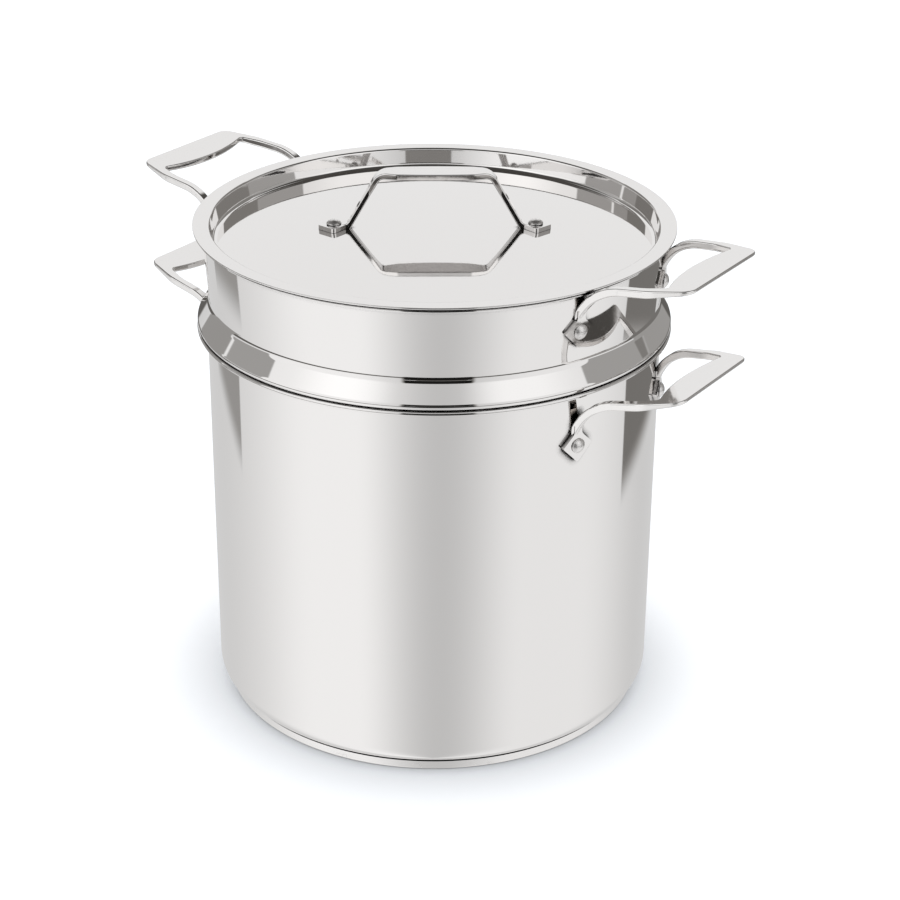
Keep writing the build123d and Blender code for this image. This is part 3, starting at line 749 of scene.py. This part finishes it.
def round_raw_edge(piece, wanted, round_radius):
    """Round the two sharp edges of a sheet's raw rim, where a test of the edge's middle wants it."""
    only(piece)
    bpy.ops.object.mode_set(mode="EDIT")
    bpy.ops.mesh.select_mode(type="EDGE")
    bpy.ops.mesh.select_all(action="DESELECT")
    bpy.ops.mesh.edges_select_sharp(sharpness=raw_edge_turn)
    bpy.ops.object.mode_set(mode="OBJECT")
    points = piece.data.vertices
    for edge in piece.data.edges:
        first, second = edge.vertices
        if edge.select and not wanted((points[first].co + points[second].co) / 2):
            edge.select = False
    bpy.ops.object.mode_set(mode="EDIT")
    bpy.ops.mesh.bevel(affect="EDGES", offset=round_radius, segments=raw_edge_steps, clamp_overlap=True)
    bpy.ops.object.mode_set(mode="OBJECT")


round_raw_edge(pot, lambda middle: True, raw_edge_round)

# %% [markdown]
# A mirror shows every facet, so shading matters more here than on a matt piece. Smooth shading alone leans the
# normals of a flat or straight wall towards the small faces of its bends. Weighted Normal lets the large faces
# decide, so that walls mirror straight and bends carry all of the turn.

# %% Shade it as a mirror
sharp_turn = math.radians(40)


def smooth(piece):
    """Shade a piece smooth but for its sharp edges, with normals that follow its large faces."""
    only(piece)
    bpy.ops.object.shade_smooth_by_angle(angle=sharp_turn)
    even = piece.modifiers.new("even_normals", "WEIGHTED_NORMAL")
    even.keep_sharp = True
    bpy.ops.object.modifier_apply(modifier=even.name)
    bpy.ops.object.select_all(action="DESELECT")


smooth(pot)

# %% [markdown]
# The finished sheet takes the place of its solid: the solid stays in the physics, the sheet is what is seen, and it
# rides on the same body. The outside is polished and the inside satin.

# %% Put it in place of its solid
def stands_for(piece, node, body, materials):
    """Put a finished piece in place of a CAD node, with its materials."""
    for material in materials:
        piece.data.materials.append(material)
    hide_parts(node)
    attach(piece, body)
    print(piece.name, "faces:", len(piece.data.polygons))


stands_for(pot, "pot_shell", "pot", [pot_polish, inside_satin])

# %% [markdown]
# The base is a shallow dish pressed over an aluminium disc. Only its rim and underside show, so it is one spun
# sheet as well, with a small bend where the underside turns up.

# %% Base cap
base_sheet = 0.0008
base_bend = 0.0016
base_low, base_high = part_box("base_cap")
print("base cap:", base_low, base_high)
base_corners = [(0, base_low.z, 0), (base_high.x, base_low.z, base_bend), (base_high.x, base_high.z, 0)]
base = draw_outline("base_pressed_cap", base_corners)
spin_outline(base)
give_wall(base, base_sheet)
smooth(base)
stands_for(base, "base_cap", "pot", [base_polish, base_polish])

# %% [markdown]
# The strainer insert is a basket that hangs in the pot by a collar, with a flared band above it. Its wall has
# hundreds of punched holes. Cutting them from a finished round wall with a boolean leaves long thin faces that
# mirror badly. A punch works on the flat sheet, so one flat tile with its hole is modelled, repeated with an Array
# modifier into a strip, and rolled into a ring with a Simple Deform modifier. Each row is a copy of that ring,
# turned by half a tile from the row below. The spun parts have the same count of faces round, so all edges meet.

# %% Insert: sizes of the sheet
insert_sheet = 0.0009
basket_radius = 0.1235
basket_corner_bend = 0.014
seat_bend = 0.0032
collar_nose_bend = 0.0022
collar_height = 0.014
crease_radius = 0.1276
crease_bend = 0.008
band_flare = math.radians(3.8)
insert_lip_overhang = 0.0039
rest_gap = 0.0003
insert_low, insert_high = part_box("insert_basket")
basket_bottom = insert_low.z
seat_height = pot_height + rest_gap
collar_radius = insert_high.x
crease_height = seat_height + collar_height
rim_underside = insert_high.z - insert_sheet
rim_radius = crease_radius + (rim_underside - crease_height) * math.tan(band_flare)
insert_lip_radius = rim_radius + insert_lip_overhang
collar_turn = math.atan2(collar_height, collar_radius - crease_radius)
# the nose's bend cuts its corner off, so the corner stands out by what makes the bend just touch the collar's radius
collar_corner = collar_radius + collar_nose_bend * (1 / math.tan(collar_turn / 2) - 1)
print("insert's rim radius:", round(rim_radius, 4))

# %% Insert: sizes of the holes
hole_radius = 0.003
hole_segments = 24
hole_row_pitch = 0.017
hole_rows = 8
holes_per_row = 32
first_row_height = 0.028
floor_ring_pitch = 0.019
floor_rings = 5
holes_per_floor_step = 6
weld_reach = 2e-5
holes_low = basket_bottom + first_row_height - hole_row_pitch / 2
holes_high = holes_low + hole_rows * hole_row_pitch
print("perforated from", round(holes_low, 4), "to", round(holes_high, 4))

# %% [markdown]
# The tile is a grid with its middle cut out, and a circle in the hole, bridged to the grid's edge. Two cuts in the
# bridge, kept straight, put points between hole and edge: rolled round, they lie on the true circle, and the wall
# mirrors as one round sheet. Without them each tile would be a flat patch, and the wall would look quilted.

# %% Insert: one punched tile
tile_width = 2 * math.pi * basket_radius / holes_per_row
tile_cuts = hole_segments // 4
tile_bridge_cuts = 2
bpy.ops.mesh.primitive_grid_add(x_subdivisions=tile_cuts, y_subdivisions=tile_cuts, size=1)
tile = bpy.context.object
tile.name = "punched_tile"
bpy.ops.object.mode_set(mode="EDIT")
bpy.ops.transform.resize(value=(tile_width, hole_row_pitch, 1))
inner_reach = Vector((tile_width, hole_row_pitch)) / 2 * (1 - 1 / tile_cuts)
pick_vertices(tile, lambda co: abs(co.x) < inner_reach.x and abs(co.y) < inner_reach.y)
bpy.ops.mesh.delete(type="VERT")
bpy.ops.mesh.primitive_circle_add(vertices=hole_segments, radius=hole_radius)
bpy.ops.mesh.select_all(action="SELECT")
bpy.ops.mesh.bridge_edge_loops(number_cuts=tile_bridge_cuts, interpolation="LINEAR")
bpy.ops.mesh.select_all(action="SELECT")
bpy.ops.transform.rotate(value=-math.pi / 2, orient_axis="X", center_override=(0, 0, 0))
bpy.ops.object.mode_set(mode="OBJECT")
print("tile faces:", len(tile.data.polygons))

# %% [markdown]
# An Array makes the strip and welds its tiles, and Simple Deform bends it by a full turn. The bend takes the strip's
# length as its circle, so the strip is as long as the basket is round, and lies half to each side of the origin.

# %% Insert: a strip of tiles, rolled into a ring
def shifted(piece, move):
    """Move all of a piece's mesh, so that its object stays at the origin."""
    only(piece)
    bpy.ops.object.mode_set(mode="EDIT")
    bpy.ops.mesh.select_all(action="SELECT")
    bpy.ops.transform.translate(value=move)
    bpy.ops.object.mode_set(mode="OBJECT")


only(tile)
row = tile.modifiers.new("row", "ARRAY")
row.count = holes_per_row
row.use_relative_offset = True
row.relative_offset_displace = (1, 0, 0)
row.use_merge_vertices = True
row.merge_threshold = weld_reach
bpy.ops.object.modifier_apply(modifier=row.name)
shifted(tile, (-tile_width * (holes_per_row - 1) / 2, 0, 0))
roll = tile.modifiers.new("roll", "SIMPLE_DEFORM")
roll.deform_method = "BEND"
roll.deform_axis = "Z"
roll.angle = 2 * math.pi
bpy.ops.object.modifier_apply(modifier=roll.name)
shifted(tile, (0, -basket_radius, holes_low + hole_row_pitch / 2))
print("ring of", len(tile.data.polygons), "faces")

# %% [markdown]
# The rows are copies of the ring, one pitch higher each time, and every other one is turned by half a tile.

# %% Insert: rows of holes, each turned half a tile from the last
rows = [tile]
for level in range(1, hole_rows):
    only(tile)
    bpy.ops.object.duplicate()
    ring = bpy.context.object
    shifted(ring, (0, 0, level * hole_row_pitch))
    rows.append(ring)
for ring in rows[::2]:
    only(ring)
    bpy.ops.object.mode_set(mode="EDIT")
    bpy.ops.mesh.select_all(action="SELECT")
    bpy.ops.transform.rotate(value=math.pi / holes_per_row, orient_axis="Z", center_override=(0, 0, 0))
    bpy.ops.object.mode_set(mode="OBJECT")

# %% [markdown]
# Under the rows comes the bend to the floor, and over them the plain wall, the seat that rests on the pot's lip, the
# collar that leans back in to the crease, and the band that flares out to the rim. Both parts are spun as the pot is.

# %% Insert: floor edge and upper part, spun
floor_edge = basket_radius - basket_corner_bend
floor_corners = [
    (floor_edge, basket_bottom, 0),
    # a shade under the full bend, so that its end stays apart from the floor's edge point
    (basket_radius, basket_bottom, basket_corner_bend - merge_reach),
    (basket_radius, holes_low, 0),
]
floor_part = draw_outline("insert_floor", floor_corners)
spin_outline(floor_part)
upper_corners = [
    (basket_radius, holes_high, 0),
    (basket_radius, seat_height, seat_bend),
    (collar_corner, seat_height, collar_nose_bend),
    (crease_radius, crease_height, crease_bend),
    (rim_radius, rim_underside, seat_bend),
    (insert_lip_radius, rim_underside, 0),
]
insert = draw_outline("insert_strainer_sheet", upper_corners)
spin_outline(insert)

# %% [markdown]
# The floor is flat, so its holes need no tiles: circles are copied round the axis with Spin's duplicates, and the
# whole disc is filled at once between its edge and the circles.

# %% Insert: punched floor
only(floor_part)
bpy.ops.object.mode_set(mode="EDIT")
bpy.ops.mesh.primitive_circle_add(vertices=hole_segments, radius=hole_radius, location=(0, 0, basket_bottom))
for ring_number in range(1, floor_rings + 1):
    bpy.ops.mesh.select_all(action="DESELECT")
    place = (ring_number * floor_ring_pitch, 0, basket_bottom)
    bpy.ops.mesh.primitive_circle_add(vertices=hole_segments, radius=hole_radius, location=place)
    bpy.ops.mesh.spin(
        steps=holes_per_floor_step * ring_number,
        dupli=True,
        angle=2 * math.pi,
        center=(0, 0, 0),
        axis=(0, 0, 1),
    )
bpy.ops.mesh.select_all(action="SELECT")
bpy.ops.mesh.remove_doubles(threshold=weld_reach)
pick_vertices(floor_part, lambda co: co.z < basket_bottom + merge_reach)
bpy.ops.mesh.fill(use_beauty=True)
bpy.ops.object.mode_set(mode="OBJECT")
print("floor faces:", len(floor_part.data.polygons))

# %% [markdown]
# The rows, the floor and the upper part are joined and their edges welded, as all have the same points round. Only
# then does the sheet get its wall, so that the holes get walls of their own too.

# %% Insert: one sheet from all its parts
bpy.ops.object.select_all(action="DESELECT")
for part in rows + [floor_part, insert]:
    part.select_set(True)
bpy.context.view_layer.objects.active = insert
bpy.ops.object.join()
bpy.ops.object.mode_set(mode="EDIT")
bpy.ops.mesh.select_mode(type="VERT")
bpy.ops.mesh.select_all(action="SELECT")
bpy.ops.mesh.remove_doubles(threshold=weld_reach)
bpy.ops.mesh.normals_make_consistent(inside=False)
bpy.ops.object.mode_set(mode="OBJECT")

# %% Insert: wall, rim and place
give_wall(insert, insert_sheet)
round_raw_edge(insert, lambda middle: middle.z > rim_underside - merge_reach, raw_edge_round)
smooth(insert)
stands_for(insert, "insert_basket", "insert", [insert_polish, inside_satin])

# %% [markdown]
# The lid is spun too: a flat flange, a steep well, and a middle that rises in a very shallow dome, which the press
# leaves so that the sheet doesn't drum. The dome's outline is an arc of a large circle, stepped by its formula.

# %% Lid: sizes
lid_sheet = 0.001
lid_well_top_radius = 0.1269
lid_well_radius = 0.1249
lid_well_depth = 0.011
lid_dome_rise = 0.0062
lid_top_bend = 0.0016
lid_well_bend = 0.0026
dome_steps = 12
lid_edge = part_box("lid_shell")[1]
lid_top = lid_edge.z
lid_floor = lid_top - lid_well_depth

# %% Lid outline
dome_radius = (lid_well_radius**2 + lid_dome_rise**2) / (2 * lid_dome_rise)
dome_middle = lid_floor + lid_dome_rise - dome_radius
lid_corners = []
for step in range(dome_steps):
    reach = lid_well_radius * step / dome_steps
    lid_corners.append((reach, dome_middle + math.sqrt(dome_radius**2 - reach**2), 0))
lid_corners.append((lid_well_radius, lid_floor, lid_well_bend))
lid_corners.append((lid_well_top_radius, lid_top, lid_top_bend))
lid_corners.append((lid_edge.x, lid_top, 0))
print("dome radius:", round(dome_radius, 3), "corners:", len(lid_corners))

# %% Lid: spun, thickened and put in place
lid = draw_outline("lid_spun_shell", lid_corners)
spin_outline(lid, outside_is_up=True)
give_wall(lid, lid_sheet)
round_raw_edge(lid, lambda middle: True, raw_edge_round)
smooth(lid)
stands_for(lid, "lid_shell", "lid", [lid_polish, inside_satin])
